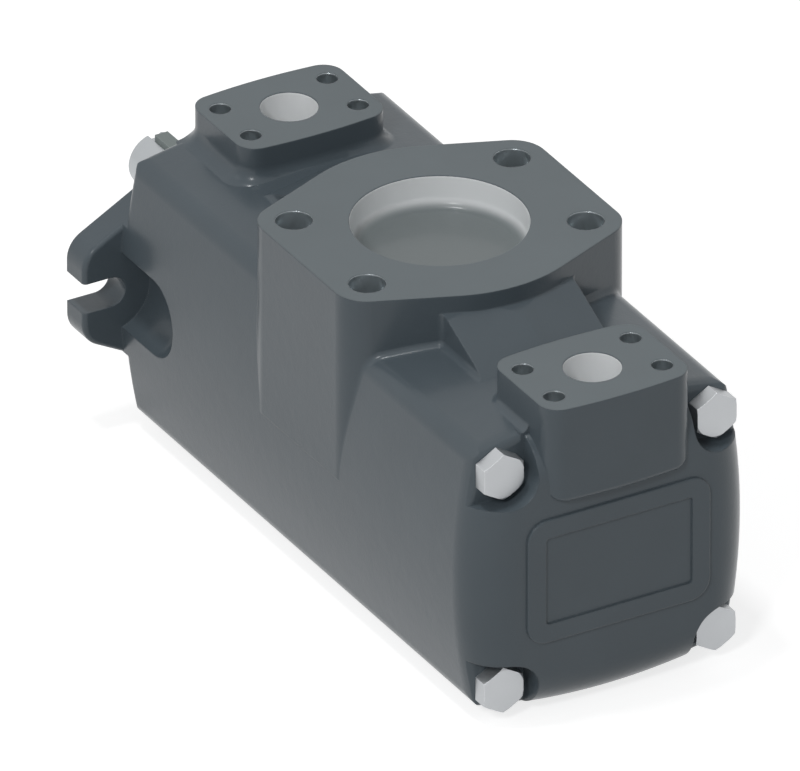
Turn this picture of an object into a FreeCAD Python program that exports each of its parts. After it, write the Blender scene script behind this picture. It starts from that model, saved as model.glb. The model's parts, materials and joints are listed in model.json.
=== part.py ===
import FreeCAD, Part
import os
from math import asin, atan2, cos, pi, radians, sin, sqrt, tan

os.makedirs("parts", exist_ok=True)

# A double vane pump with one through shaft, in millimetres.
# The origin is the centre of the mounting face, on the shaft's axis.
# +X runs along the shaft towards the rear cover, and +Z points up through the ports.

# Rotor, vanes and cam ring
rotor_radius = 31.0
rotor_side_play = 0.1
vane_count = 10
vane_thickness = 2.3
vane_slot_play = 0.08
vane_slot_depth = 10.0
vane_lift = 0.8
vane_tip_drop = 0.1
vane_pin_radius = 1.8
vane_pin_wall = 2.1
cam_gap = 0.4
cam_stroke = 3.6
cam_points = 16
cam_width = 34.0

# Port plate, pressure plate and what holds a cartridge together
plate_thickness = 14.0
plate_fit = 0.2
dowel_wall = 6.5
dowel_edge = 3.3
dowel_radius = 3.0
dowel_depth = 7.0
clamp_screw_radius = 3.0
clamp_screw_play = 0.3
clamp_head_radius = 5.0
clamp_head_height = 6.0
clamp_thread_length = 8.0
kidney_half_width = 2.5
kidney_angle = 48.0
kidney_depth = 5.0
suction_notch_depth = 6.0
plate_ring_width = 3.2
plate_ring_depth = 2.4
plate_ring_place = 1.5
cam_step = 3.2

# Ball bearing at the drive end
bearing_bore = 15.0
bearing_outer = 31.0
bearing_width = 16.0
bearing_front = -5.0
ball_count = 9
ball_radius = 4.75
ball_play = 0.08
ring_land = 4.4
cage_half_width = 5.6
cage_half_height = 1.7
circlip_thickness = 1.6
circlip_play = 0.05
casing_circlip_depth = 2.0
casing_circlip_height = 4.8
casing_circlip_gap = 12.0
shaft_circlip_depth = 1.2
shaft_circlip_height = 4.2
shaft_circlip_gap = 8.0

# Shaft seal behind the bearing
seal_height = 7.5
seal_width = 8.0
seal_shell = 1.2
seal_lip_gap = 2.0
lip_play = 0.03
lip_length = 3.0
lip_height = 1.5
seal_stop = 3.0
seal_stop_gap = 1.5

# Shaft
drive_radius = 12.7
drive_length = 65.8
drive_chamfer = 1.5
drive_shoulder = -12.0
shaft_step = 2.0
land_height = 2.5
land_tail = 2.5
middle_step = 0.5
spline_teeth = 10
spline_step = 1.0
spline_depth = 1.6
spline_width = 4.6
spline_play = 0.08
spline_overrun = 2.0
spline_lead = 6.0
journal_step = 0.9
journal_play = 0.04
shaft_tail_length = 11.0
hub_play = 0.7
hub_wall = 5.8
hub_fit = 0.2
hub_gap = 0.5
hub_engagement = 4.5
bush_wall = 3.0
bush_inset = 3.5
bush_length = 24.5
keyway_width = 6.35
keyway_length = 38.0
keyway_depth = 3.4
key_start = 7.5
key_length = 32.0
key_height = 6.3

# Casing lengths along the shaft
flange_thickness = 14.5
mounting_cap_length = 71.5
housing_length = 192.0
end_cap_length = 53.5
plate_recess = 11.5
housing_mouth_depth = 14.5
rear_chamber_depth = 44.5

# Casing walls, from the cartridge outwards
chamber_seat = 6.8
mouth_gap = 2.0
cavity_relief = 5.0
seam_ring_gap = 0.7
seam_ring_width = 3.6
seam_ring_depth = 2.4
seal_squeeze = 0.05
bolt_land = 7.8
bolt_inset = 16.7

# Cover bolts and front screws
bolt_radius = 6.0
bolt_clearance = 0.7
thread_clearance = 0.02
bolt_thread_length = 22.0
thread_run_out = 2.0
hex_flats = 19.0
hex_height = 7.5
hex_chamfer = 1.2
bolt_pocket_radius = 14.0
bolt_seat_depth = 13.7
bolt_seat_edge = 4.0
screw_head_radius = 9.0
screw_head_height = 12.0
screw_head_clearance = 0.4
screw_head_seat = 32.0
screw_key_flats = 10.0
screw_key_depth = 6.0

# Cross-section of the castings: a rounded square with bulged sides
bulge_radius = 281.0
body_corner = 9.5
front_edge = 4.5
rear_edge = 21.0

# Mounting flange with two open slots and a pilot
pilot_radius = 50.8
pilot_length = 9.5
flange_radius = 59.2
ear_reach = 86.25
ear_corner = 12.5
ear_flat = 13.2
slot_width = 14.3
slot_centre = 73.0
slot_pocket_radius = 19.0
slot_pocket_length = 26.5

# Pressure ports
outlet_x = 39.8
outlet_top = 82.6
outlet_half_length = 26.8
outlet_half_width = 35.4
outlet_corner = 9.5
outlet_bulge = 270.0
outlet_bore = 24.6
outlet_bolt_x = 26.2
outlet_bolt_y = 52.4
outlet_bolt_hole = 9.3
outlet_bolt_depth = 19.0
outlet_pad_wall = 5.0
outlet_cove = 8.0
rear_outlet_cove = 4.0
rear_outlet_bottom = 37.0
rear_outlet_edge = 2.8

# Suction port
inlet_top = 90.1
inlet_rim_radius = 64.4
inlet_corner = 15.4
inlet_bore = 76.2
inlet_bore_depth = 14.7
inlet_bolt_x = 61.9
inlet_bolt_y = 106.4
inlet_bolt_hole = 16.0
inlet_bolt_depth = 27.0
inlet_floor_fillet = 4.5
inlet_throat_width = 16.5
inlet_throat_ledge = 1.0
inlet_throat_angle = -45.0
inlet_throat_sweep = 100.0
inlet_throat_corner = 4.0

# Sloping shoulders before and behind the suction flange
shoulder_half_width = 31.5
shoulder_slope = 25.0
shoulder_tilt = 7.0
shoulder_rim_drop = 7.9
shoulder_band_slope = 18.4
shoulder_start = 71.0
shoulder_level = 80.0

# Rear cover's name-plate place
plate_half_width = 44.4
plate_half_height = 29.7
plate_corner = 9.5
plate_raise = 1.4
recess_margin = 8.9
recess_corner = 1.5
recess_depth = 1.0

# Small edges
machined_edge = 0.4
cast_edge = 2.0
foot_fillet = 3.0

# Radii that follow from the sizes above
cam_minor = rotor_radius + cam_gap
cam_major = cam_minor + cam_stroke
dowel_place = cam_major + dowel_wall
plate_radius = dowel_place + dowel_edge
cam_radius = plate_radius + cam_step
kidney_middle = (rotor_radius + cam_minor) / 2
chamber_radius = plate_radius - chamber_seat
housing_mouth = cam_radius + mouth_gap
cavity_radius = housing_mouth + cavity_relief
seam_ring_inner = cavity_radius + seam_ring_gap
bolt_place = (seam_ring_inner + seam_ring_width + bolt_land + bolt_radius) / sqrt(2)
body_half = bolt_place + bolt_inset
seal_land = bearing_bore + land_height
seal_radius = seal_land + seal_height
shaft_middle = bearing_bore + middle_step
spline_major = shaft_middle - spline_step
spline_minor = spline_major - spline_depth
journal_radius = spline_minor - journal_step
hub_bore = shaft_middle + hub_play
hub_radius = hub_bore + hub_wall
bush_seat = journal_radius + bush_wall

# Places along the shaft that follow from the sizes above
housing_front = mounting_cap_length
housing_rear = housing_front + housing_length
pump_rear = housing_rear + end_cap_length
pump_middle = (housing_front + housing_rear) / 2
rear_outlet_x = 2 * pump_middle - outlet_x
outlet_floor = chamber_radius - outlet_bore / 4
bolt_seat = pump_rear - bolt_seat_depth
plate_seat = housing_front - plate_recess
cam_front = plate_seat + plate_thickness
cam_rear = cam_front + cam_width
seal_front = bearing_front + bearing_width
seal_rear = seal_front + seal_width
hub_seat = seal_rear + seal_stop
chamber_start = hub_seat + hub_gap + hub_engagement
drive_end = drive_shoulder - drive_length


def vector(x, y, z):
    return FreeCAD.Vector(x, y, z)


def block(x0, x1, y0, y1, z0, z1):
    return Part.makeBox(x1 - x0, y1 - y0, z1 - z0, vector(x0, y0, z0))


def rod_x(radius, x0, x1, y=0.0, z=0.0):
    return Part.makeCylinder(radius, x1 - x0, vector(x0, y, z), vector(1, 0, 0))


def rod_z(radius, z0, z1, x=0.0, y=0.0):
    return Part.makeCylinder(radius, z1 - z0, vector(x, y, z0), vector(0, 0, 1))


def turned_x(profile):
    """Turn a closed (x, radius) outline about the shaft's axis."""
    points = [vector(x, 0, r) for x, r in profile]
    face = Part.Face(Part.makePolygon(points + points[:1]))
    return face.revolve(vector(0, 0, 0), vector(1, 0, 0), 360)


def ring_x(inner, outer, x0, x1):
    return turned_x([(x0, inner), (x1, inner), (x1, outer), (x0, outer)])


def around_x(shape, angle):
    copy = shape.copy()
    copy.rotate(vector(0, 0, 0), vector(1, 0, 0), angle)
    return copy


def mirrored(shape):
    """The same shape at the other end of the pump."""
    return shape.mirror(vector(pump_middle, 0, 0), vector(1, 0, 0))


def fused(shapes):
    return shapes[0].multiFuse(shapes[1:]).removeSplitter()


def edges_where(shape, test):
    """The edges whose box and centre pass a test."""
    return [e for e in shape.Edges if test(e.BoundBox, e.CenterOfMass)]


def near(a, b):
    return abs(a - b) < 0.01


def hull_outline(circles):
    """Arcs of a belt round circles given counter-clockwise as (a, b, radius)."""
    count = len(circles)
    normals = []
    for i in range(count):
        a0, b0, r0 = circles[i]
        a1, b1, r1 = circles[(i + 1) % count]
        heading = atan2(b1 - b0, a1 - a0)
        span = sqrt((a1 - a0) ** 2 + (b1 - b0) ** 2)
        normals.append(heading - pi / 2 + asin((r0 - r1) / span))
    arcs = []
    for i in range(count):
        start = normals[i - 1]
        end = start + (normals[i] - start) % (2 * pi)
        arcs.append((circles[i], start, end))
    return arcs


def outline_face(arcs, place):
    """A face of arcs joined by straight edges, where place turns (a, b) into a point."""
    edges = []
    for i, ((a, b, r), start, end) in enumerate(arcs):
        points = [place(a + r * cos(t), b + r * sin(t)) for t in (start, (start + end) / 2, end)]
        edges.append(Part.Arc(*points).toShape())
        (a1, b1, r1), start1, _ = arcs[(i + 1) % len(arcs)]
        following = place(a1 + r1 * cos(start1), b1 + r1 * sin(start1))
        if (following - points[2]).Length > 1e-6:
            edges.append(Part.LineSegment(points[2], following).toShape())
    return Part.Face(Part.Wire(edges))


def grown(arcs, margin):
    """The same outline moved outwards."""
    return [((a, b, r + margin), start, end) for (a, b, r), start, end in arcs]


def bulged_square(half, bulge, corner):
    """Arcs of a square whose four sides bulge outwards and whose corners are round."""
    centre = half - bulge
    reach = bulge - corner
    place = (centre + sqrt(2 * reach**2 - centre**2)) / 2
    side = atan2(place, place - centre)
    arcs = []
    for turn in range(4):
        quarter = turn * pi / 2
        diagonal = quarter + pi / 4
        side_circle = (centre * cos(quarter), centre * sin(quarter), bulge)
        corner_centre = place * sqrt(2)
        corner_circle = (corner_centre * cos(diagonal), corner_centre * sin(diagonal), corner)
        arcs.append((side_circle, quarter - side, quarter + side))
        arcs.append((corner_circle, quarter + side, quarter + pi / 2 - side))
    return arcs


def rounded_rectangle(half_a, half_b, corner):
    a = half_a - corner
    b = half_b - corner
    return hull_outline([(a, b, corner), (-a, b, corner), (-a, -b, corner), (a, -b, corner)])


def outlet_outline():
    """Arcs of a pressure port pad, whose front and rear edges bulge slightly."""
    corner_b = outlet_half_width - outlet_corner
    centre = outlet_half_length - outlet_bulge
    corner_a = centre + sqrt((outlet_bulge - outlet_corner) ** 2 - corner_b**2)
    side = atan2(corner_b, corner_a - centre)
    return [
        ((centre, 0.0, outlet_bulge), -side, side),
        ((corner_a, corner_b, outlet_corner), side, pi / 2),
        ((-corner_a, corner_b, outlet_corner), pi / 2, pi - side),
        ((-centre, 0.0, outlet_bulge), pi - side, pi + side),
        ((-corner_a, -corner_b, outlet_corner), pi + side, 3 * pi / 2),
        ((corner_a, -corner_b, outlet_corner), 3 * pi / 2, 2 * pi - side),
    ]


def inlet_outline():
    """Belt round the suction flange's rim and its four bolt corners."""
    a = inlet_bolt_x / 2
    b = inlet_bolt_y / 2
    rim = (0.0, 0.0, inlet_rim_radius)
    right = [(a, -b, inlet_corner), rim, (a, b, inlet_corner)]
    left = [(-a, b, inlet_corner), rim, (-a, -b, inlet_corner)]
    return hull_outline(right + left)


def flange_outline():
    """Belt round the mounting flange's disc and the corners of its two ears."""
    ear = ear_reach - ear_corner
    disc = (0.0, 0.0, flange_radius)
    right = [(ear, -ear_flat, ear_corner), (ear, ear_flat, ear_corner), disc]
    left = [(-ear, ear_flat, ear_corner), (-ear, -ear_flat, ear_corner), disc]
    return hull_outline(right + left)


def column(arcs, x, z0, z1):
    face = outline_face(arcs, lambda a, b: vector(x + a, b, z0))
    return face.extrude(vector(0, 0, z1 - z0))


def plate(arcs, x0, x1):
    face = outline_face(arcs, lambda a, b: vector(x0, a, b))
    return face.extrude(vector(x1 - x0, 0, 0))


def body_prism(x0, x1):
    """A length of the castings' common cross-section."""
    return plate(bulged_square(body_half, bulge_radius, body_corner), x0, x1)


def body_level(y):
    """Height of the castings' bulged top at a distance from the middle plane."""
    return body_half - bulge_radius + sqrt(bulge_radius**2 - y**2)


def rounded_body(x0, x1, edge):
    """The body's cross-section with rounded end edges that follow the bulge of its sides."""
    side = rod_x(bulge_radius + 0.001, x0, x1, body_half - bulge_radius, 0)
    side = side.makeFillet(edge, edges_where(side, lambda box, centre: near(box.XMin, box.XMax)))
    body = body_prism(x0, x1)
    for angle in (0, 90, 180, 270):
        body = body.common(around_x(side, angle))
    return body


def bolt_places():
    return [(y, z) for y in (-bolt_place, bolt_place) for z in (-bolt_place, bolt_place)]


def side_places():
    return [(dowel_place, 0.0), (-dowel_place, 0.0)]


def top_places():
    return [(0.0, dowel_place), (0.0, -dowel_place)]


def hexagon(flats, x, y, z, turn):
    """A hexagon's face across the shaft's direction, with a corner at an angle from +Z."""
    across = flats / 2 / cos(pi / 6)
    angles = [turn + k * pi / 3 for k in range(6)]
    corners = [vector(x, y + across * sin(t), z + across * cos(t)) for t in angles]
    return Part.Face(Part.makePolygon(corners + corners[:1]))


def outlet_flare(x, cove, x0, x1):
    """The hollow curve at a pressure port's foot, kept between two ends of a casting."""
    arcs = outlet_outline()
    level = body_level(outlet_half_width + cove)
    floor = level - 2 * cove
    tall = column(arcs, x, floor, outlet_top)
    flare = fused([column(grown(arcs, cove), x, floor, level), tall])

    def is_foot(box, centre):
        inside = box.YMax < outlet_half_width + 0.1 and box.XMax < x + outlet_half_length + 0.1
        inside = inside and box.YMin > -outlet_half_width - 0.1 and box.XMin > x - outlet_half_length - 0.1
        return inside and near(box.ZMin, level) and near(box.ZMax, level)

    flare = flare.makeFillet(cove - 0.01, edges_where(flare, is_foot))
    reach = 2 * outlet_half_width
    return flare.common(block(x0, x1, -reach, reach, floor, outlet_top + 1))


def outlet_cuts(x):
    """The bore and the four blind bolt holes of one pressure port."""
    bore_radius = outlet_bore / 2
    mouth = vector(x, 0, outlet_top - machined_edge)
    cuts = [
        rod_z(bore_radius, outlet_floor, outlet_top + 1, x, 0),
        Part.makeCone(bore_radius, bore_radius + machined_edge, machined_edge, mouth),
    ]
    for i in (-0.5, 0.5):
        for j in (-0.5, 0.5):
            hole_x = x + i * outlet_bolt_x
            hole_y = j * outlet_bolt_y
            cuts.append(
                rod_z(outlet_bolt_hole / 2, outlet_top - outlet_bolt_depth, outlet_top + 1, hole_x, hole_y)
            )
    return cuts


def slot_cuts(side):
    """One open mounting slot and the room for its bolt's head behind the ear."""
    pocket_end = flange_thickness + slot_pocket_length
    y = side * slot_centre
    inner, outer = sorted((y, side * (ear_reach + 1)))
    half = slot_width / 2
    return [
        rod_x(slot_pocket_radius, flange_thickness, pocket_end, y, 0),
        Part.makeSphere(slot_pocket_radius, vector(pocket_end, y, 0)),
        rod_x(half, -1, flange_thickness + 1, y, 0),
        block(-1, flange_thickness + 1, inner, outer, -half, half),
    ]


def make_mounting_cap():
    rear = mounting_cap_length
    reach = ear_reach
    body = rounded_body(flange_thickness, rear + 2 * front_edge, front_edge)
    body = body.common(block(0, rear, -reach, reach, -reach, reach))
    flange = plate(flange_outline(), 0, flange_thickness)

    def is_rear_rim(box, centre):
        return near(box.XMin, flange_thickness) and near(box.XMax, flange_thickness)

    flange = flange.makeFillet(cast_edge, edges_where(flange, is_rear_rim))
    behind = plate(flange_outline(), flange_thickness - cast_edge, 2 * flange_thickness)
    behind = behind.common(body_prism(0, rear))
    pad = column(outlet_outline(), outlet_x, chamber_radius + outlet_pad_wall, outlet_top)
    flare = outlet_flare(outlet_x, outlet_cove, flange_thickness, rear)
    pilot = rod_x(pilot_radius, -pilot_length, 1)
    pilot_rim = edges_where(pilot, lambda box, centre: near(box.XMax, -pilot_length))
    pilot = pilot.makeChamfer(machined_edge, pilot_rim)
    cap = fused([body, flange, behind, pad, flare, pilot])
    cuts = outlet_cuts(outlet_x) + slot_cuts(-1) + slot_cuts(1)
    for y, z in bolt_places():
        head = screw_head_radius + screw_head_clearance
        cuts.append(rod_x(bolt_radius + bolt_clearance, flange_thickness - 1, rear + 1, y, z))
        cuts.append(rod_x(head, flange_thickness - 1, screw_head_seat, y, z))
    groove_front = bearing_front - circlip_thickness - circlip_play
    groove_radius = bearing_outer + casing_circlip_depth
    plate_bore = plate_radius + plate_fit
    cuts.append(
        turned_x(
            [
                (-pilot_length - 1, 0),
                (-pilot_length - 1, bearing_outer),
                (groove_front, bearing_outer),
                (groove_front, groove_radius),
                (bearing_front, groove_radius),
                (bearing_front, bearing_outer),
                (seal_front, bearing_outer),
                (seal_front, seal_radius),
                (seal_rear, seal_radius),
                (seal_rear, seal_land + seal_stop_gap),
                (hub_seat, seal_land + seal_stop_gap),
                (hub_seat, hub_radius + hub_fit),
                (chamber_start, hub_radius + hub_fit),
                (chamber_start, chamber_radius),
                (plate_seat, chamber_radius),
                (plate_seat, plate_bore),
                (rear + 1, plate_bore),
                (rear + 1, 0),
            ]
        )
    )
    cuts.append(seam_groove(rear - seam_ring_depth, rear + 1))
    return cap.cut(Part.makeCompound(cuts))


def seam_groove(x0, x1):
    return ring_x(seam_ring_inner, seam_ring_inner + seam_ring_width, x0, x1)


def make_shoulder():
    """The sloping shoulder between the suction flange and the housing's rear end."""
    length = pump_middle - housing_front
    foot = body_half / 2
    far = length + shoulder_half_width
    rim_level = inlet_top - shoulder_rim_drop
    far_level = rim_level - (far - inlet_rim_radius) * tan(radians(shoulder_band_slope))
    cone_points = [
        vector(pump_middle, 0, foot),
        vector(pump_middle + far, 0, foot),
        vector(pump_middle + far, 0, far_level),
        vector(pump_middle + inlet_rim_radius, 0, rim_level),
        vector(pump_middle, 0, rim_level),
    ]
    cone_face = Part.Face(Part.makePolygon(cone_points + cone_points[:1]))
    cone = cone_face.revolve(vector(pump_middle, 0, 0), vector(0, 0, 1), 360)

    def section(run):
        x = pump_middle + run
        ridge = shoulder_level - (run - shoulder_start) * tan(radians(shoulder_slope))
        side = ridge - shoulder_half_width * tan(radians(shoulder_tilt))
        outline = [
            vector(x, -shoulder_half_width, 0),
            vector(x, -shoulder_half_width, side),
            vector(x, 0, ridge),
            vector(x, shoulder_half_width, side),
            vector(x, shoulder_half_width, 0),
        ]
        return Part.makePolygon(outline + outline[:1])

    wedge = Part.makeLoft([section(0), section(length)], True, True)
    return wedge.common(cone)


def inlet_passage():
    """The suction bore with its cast floor, and the throat that leads down beside the rear cartridge."""
    floor = inlet_top - inlet_bore_depth
    bore_radius = inlet_bore / 2
    bore = rod_z(bore_radius, floor, inlet_top + 1, pump_middle, 0)

    def is_rim(box, centre):
        return near(box.ZMax, floor)

    bore = bore.makeFillet(inlet_floor_fillet, edges_where(bore, is_rim))
    mouth = vector(pump_middle, 0, inlet_top - machined_edge)
    edge = Part.makeCone(bore_radius, bore_radius + machined_edge, machined_edge, mouth)
    outer = bore_radius - inlet_throat_ledge
    inner = outer - inlet_throat_width
    top = floor + inlet_floor_fillet
    section = [vector(inner, 0, 0), vector(outer, 0, 0), vector(outer, 0, top), vector(inner, 0, top)]
    face = Part.Face(Part.makePolygon(section + section[:1]))
    throat = face.revolve(vector(0, 0, 0), vector(0, 0, 1), inlet_throat_sweep)

    def is_corner(box, centre):
        return box.XMax - box.XMin < 0.01 and box.YMax - box.YMin < 0.01

    throat = throat.makeFillet(inlet_throat_corner, edges_where(throat, is_corner))
    throat.rotate(vector(0, 0, 0), vector(0, 0, 1), inlet_throat_angle - inlet_throat_sweep / 2)
    throat.translate(vector(pump_middle, 0, 0))
    return [bore, edge, throat]


def make_housing():
    body = body_prism(housing_front, housing_rear)
    inlet = column(inlet_outline(), pump_middle, 0, inlet_top)
    shoulder = make_shoulder()
    housing = fused([body, inlet, shoulder, mirrored(shoulder)])

    def is_foot(box, centre):
        beside = near(abs(centre.y), shoulder_half_width)
        low = box.ZMax < body_level(shoulder_half_width) + 0.1 and box.ZMin > body_half / 2
        shoulder_foot = beside and low and box.XMax - box.XMin > 5
        shoulder_wall = beside and box.XMax - box.XMin < 0.1
        inlet_side = abs(centre.x - pump_middle) < inlet_rim_radius
        column_foot = low and inlet_side and abs(centre.y) > shoulder_half_width + 0.1 and box.ZMin > bolt_place
        return shoulder_foot or shoulder_wall or column_foot

    housing = housing.makeFillet(foot_fillet, edges_where(housing, is_foot))
    mouth_length = housing_mouth_depth
    cuts = [
        rod_x(housing_mouth, housing_front - 1, housing_front + mouth_length),
        rod_x(housing_mouth, housing_rear - mouth_length, housing_rear + 1),
        rod_x(cavity_radius, housing_front + mouth_length, housing_rear - mouth_length),
    ]
    cuts += inlet_passage()
    for i in (-0.5, 0.5):
        for j in (-0.5, 0.5):
            x = pump_middle + i * inlet_bolt_x
            cuts.append(
                rod_z(inlet_bolt_hole / 2, inlet_top - inlet_bolt_depth, inlet_top + 1, x, j * inlet_bolt_y)
            )
    depth = bolt_thread_length + thread_run_out
    for y, z in bolt_places():
        hole = bolt_radius + thread_clearance
        cuts.append(rod_x(hole, housing_front - 1, housing_front + depth, y, z))
        cuts.append(rod_x(hole, housing_rear - depth, housing_rear + 1, y, z))
    return housing.cut(Part.makeCompound(cuts))


def corner_pocket(start, y, z):
    """Room round one cover bolt's head, open to the casting's corner."""
    radius = bolt_pocket_radius
    reach = body_half + 1
    side_y = 1 if y > 0 else -1
    side_z = 1 if z > 0 else -1
    across_y = sorted((y - side_y * radius, side_y * reach))
    across_z = sorted((z - side_z * radius, side_z * reach))
    outer_y = sorted((y, side_y * reach))
    outer_z = sorted((z, side_z * reach))
    end = pump_rear + plate_raise + 1
    return [
        rod_x(radius, start, end, y, z),
        block(start, end, *across_y, *outer_z),
        block(start, end, *outer_y, *across_z),
    ]


def corner_pockets(start):
    return fused([solid for y, z in bolt_places() for solid in corner_pocket(start, y, z)])


def make_end_cap():
    reach = 2 * body_half
    room = block(housing_rear, pump_rear + 1, -reach, reach, -reach, reach)
    whole = rounded_body(housing_rear - 2 * rear_edge, pump_rear, rear_edge).common(room)
    pockets = corner_pockets(bolt_seat - bolt_seat_edge)
    seats = rounded_body(housing_rear - 2 * rear_edge, bolt_seat, bolt_seat_edge)
    body = whole.cut(pockets)
    corners = whole.common(pockets).common(seats)
    pad = column(outlet_outline(), rear_outlet_x, rear_outlet_bottom, outlet_top)
    flare = outlet_flare(rear_outlet_x, rear_outlet_cove, housing_rear, bolt_seat)
    tall = rounded_rectangle(outlet_half_width, outlet_top - rear_outlet_bottom, outlet_corner)
    end_view = outline_face(tall, lambda a, b: vector(housing_rear, a, outlet_top + b))
    pad = pad.common(end_view.extrude(vector(2 * end_cap_length, 0, 0)))

    def is_low_rim(box, centre):
        low = near(box.ZMin, rear_outlet_bottom) and near(box.ZMax, rear_outlet_bottom)
        return low and box.YMin < 0 < box.YMax and centre.x > pump_rear

    pad = pad.makeFillet(rear_outlet_edge, edges_where(pad, is_low_rim))
    raised = plate(rounded_rectangle(plate_half_width, plate_half_height, plate_corner), pump_rear - 1, pump_rear + plate_raise)

    def is_outer_rim(box, centre):
        return near(box.XMin, pump_rear + plate_raise)

    raised = raised.makeFillet(plate_raise / 2, edges_where(raised, is_outer_rim))
    cap = fused([body, corners, pad, flare, raised])
    recess_face = pump_rear + plate_raise
    recess_half_width = plate_half_width - recess_margin
    recess_half_height = plate_half_height - recess_margin
    recess = plate(
        rounded_rectangle(recess_half_width, recess_half_height, recess_corner),
        recess_face - recess_depth,
        recess_face + 1,
    )
    cuts = outlet_cuts(rear_outlet_x) + [recess, corner_pockets(bolt_seat)]
    for y, z in bolt_places():
        cuts.append(rod_x(bolt_radius + bolt_clearance, housing_rear - 1, pump_rear, y, z))
    plate_bore = plate_radius + plate_fit
    rear_plate_seat = 2 * pump_middle - plate_seat
    cuts.append(
        turned_x(
            [
                (housing_rear - 1, 0),
                (housing_rear - 1, plate_bore),
                (rear_plate_seat, plate_bore),
                (rear_plate_seat, chamber_radius),
                (housing_rear + rear_chamber_depth, chamber_radius),
                (housing_rear + rear_chamber_depth, 0),
            ]
        )
    )
    cuts.append(seam_groove(housing_rear - 1, housing_rear + seam_ring_depth))
    return cap.cut(Part.makeCompound(cuts))


def make_end_cap_bolts():
    bolts = []
    corner = hex_flats / 2 / cos(pi / 6)
    for y, z in bolt_places():
        head = hexagon(hex_flats, bolt_seat, y, z, 0).extrude(vector(hex_height, 0, 0))
        dome_start = vector(bolt_seat - hex_height, y, z)
        dome_length = 2 * hex_height
        rim = corner - hex_chamfer
        dome = Part.makeCone(rim + 2 * dome_length, rim, dome_length, dome_start, vector(1, 0, 0))
        shank = rod_x(bolt_radius, housing_rear - bolt_thread_length, bolt_seat + 1, y, z)
        bolts.append(fused([head.common(dome), shank]))
    return Part.makeCompound(bolts)


def make_mounting_cap_screws():
    screws = []
    front = screw_head_seat - screw_head_height
    for y, z in bolt_places():
        head = rod_x(screw_head_radius, front, screw_head_seat, y, z)
        shank = rod_x(bolt_radius, screw_head_seat - 1, housing_front + bolt_thread_length, y, z)
        key = hexagon(screw_key_flats, front, y, z, 0).extrude(vector(screw_key_depth, 0, 0))
        screws.append(fused([head, shank]).cut(key))
    return Part.makeCompound(screws)


def make_seam_ring(x0):
    inner = seam_ring_inner + seal_squeeze
    outer = seam_ring_inner + seam_ring_width - seal_squeeze
    return ring_x(inner, outer, x0, x0 + seam_ring_depth)


def bearing_middle():
    return bearing_front + bearing_width / 2


def ball_pitch():
    return (bearing_bore + bearing_outer) / 2


def ball_groove():
    centre = vector(bearing_middle(), 0, 0)
    return Part.makeTorus(ball_pitch(), ball_radius + ball_play, centre, vector(1, 0, 0))


def make_bearing_outer_ring():
    ring = ring_x(bearing_outer - ring_land, bearing_outer, bearing_front, seal_front)
    return ring.cut(ball_groove())


def make_bearing_inner_ring():
    ring = ring_x(bearing_bore, bearing_bore + ring_land, bearing_front, seal_front)
    return ring.cut(ball_groove())


def make_bearing_balls():
    ball = Part.makeSphere(ball_radius, vector(bearing_middle(), 0, ball_pitch()))
    return Part.makeCompound([around_x(ball, 360 * k / ball_count) for k in range(ball_count)])


def make_bearing_cage():
    inner = ball_pitch() - cage_half_height
    outer = ball_pitch() + cage_half_height
    middle = bearing_middle()
    cage = ring_x(inner, outer, middle - cage_half_width, middle + cage_half_width)
    pocket = rod_z(ball_radius + ball_play, inner - 2, outer + 2, middle, 0)
    return cage.cut(Part.makeCompound([around_x(pocket, 360 * k / ball_count) for k in range(ball_count)]))


def make_circlip(inner, outer, gap):
    """A retaining ring in front of the bearing, open at the bottom."""
    front = bearing_front - circlip_thickness
    clip = ring_x(inner, outer, front, bearing_front)
    return clip.cut(block(front - 1, bearing_front + 1, -gap / 2, gap / 2, -outer - 1, 0))


def make_bearing_circlip():
    outer = bearing_outer + casing_circlip_depth - circlip_play
    return make_circlip(outer - casing_circlip_height, outer, casing_circlip_gap)


def make_shaft_circlip():
    inner = bearing_bore - shaft_circlip_depth + circlip_play
    return make_circlip(inner, inner + shaft_circlip_height, shaft_circlip_gap)


def make_shaft_seal():
    """A steel shell with a rubber lip that runs on the shaft, as one turned section."""
    lip = seal_land + lip_play
    lip_start = seal_front + lip_length
    lip_end = lip_start + seal_shell
    inner = seal_land + seal_lip_gap
    root = seal_front + 2 * seal_shell
    return turned_x(
        [
            (seal_front, seal_radius),
            (seal_front, inner),
            (seal_front + seal_shell, inner),
            (lip_start, lip),
            (lip_end, lip),
            (lip_end, lip + lip_height),
            (root, inner + lip_height),
            (root, seal_radius - seal_shell),
            (seal_rear, seal_radius - seal_shell),
            (seal_rear, seal_radius),
        ]
    )


def spline_bar(x0, x1, play):
    """A straight-sided spline, which play widens into the cutter for a splined bore."""
    outer = spline_major + play
    half = spline_width / 2 + play
    bars = [rod_x(spline_minor + play, x0, x1)]
    for k in range(spline_teeth // 2):
        bar = block(x0, x1, -half, half, -outer - 1, outer + 1)
        bars.append(around_x(bar, (k + 0.5) * 360 / spline_teeth))
    return fused(bars).common(rod_x(outer, x0, x1))


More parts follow.
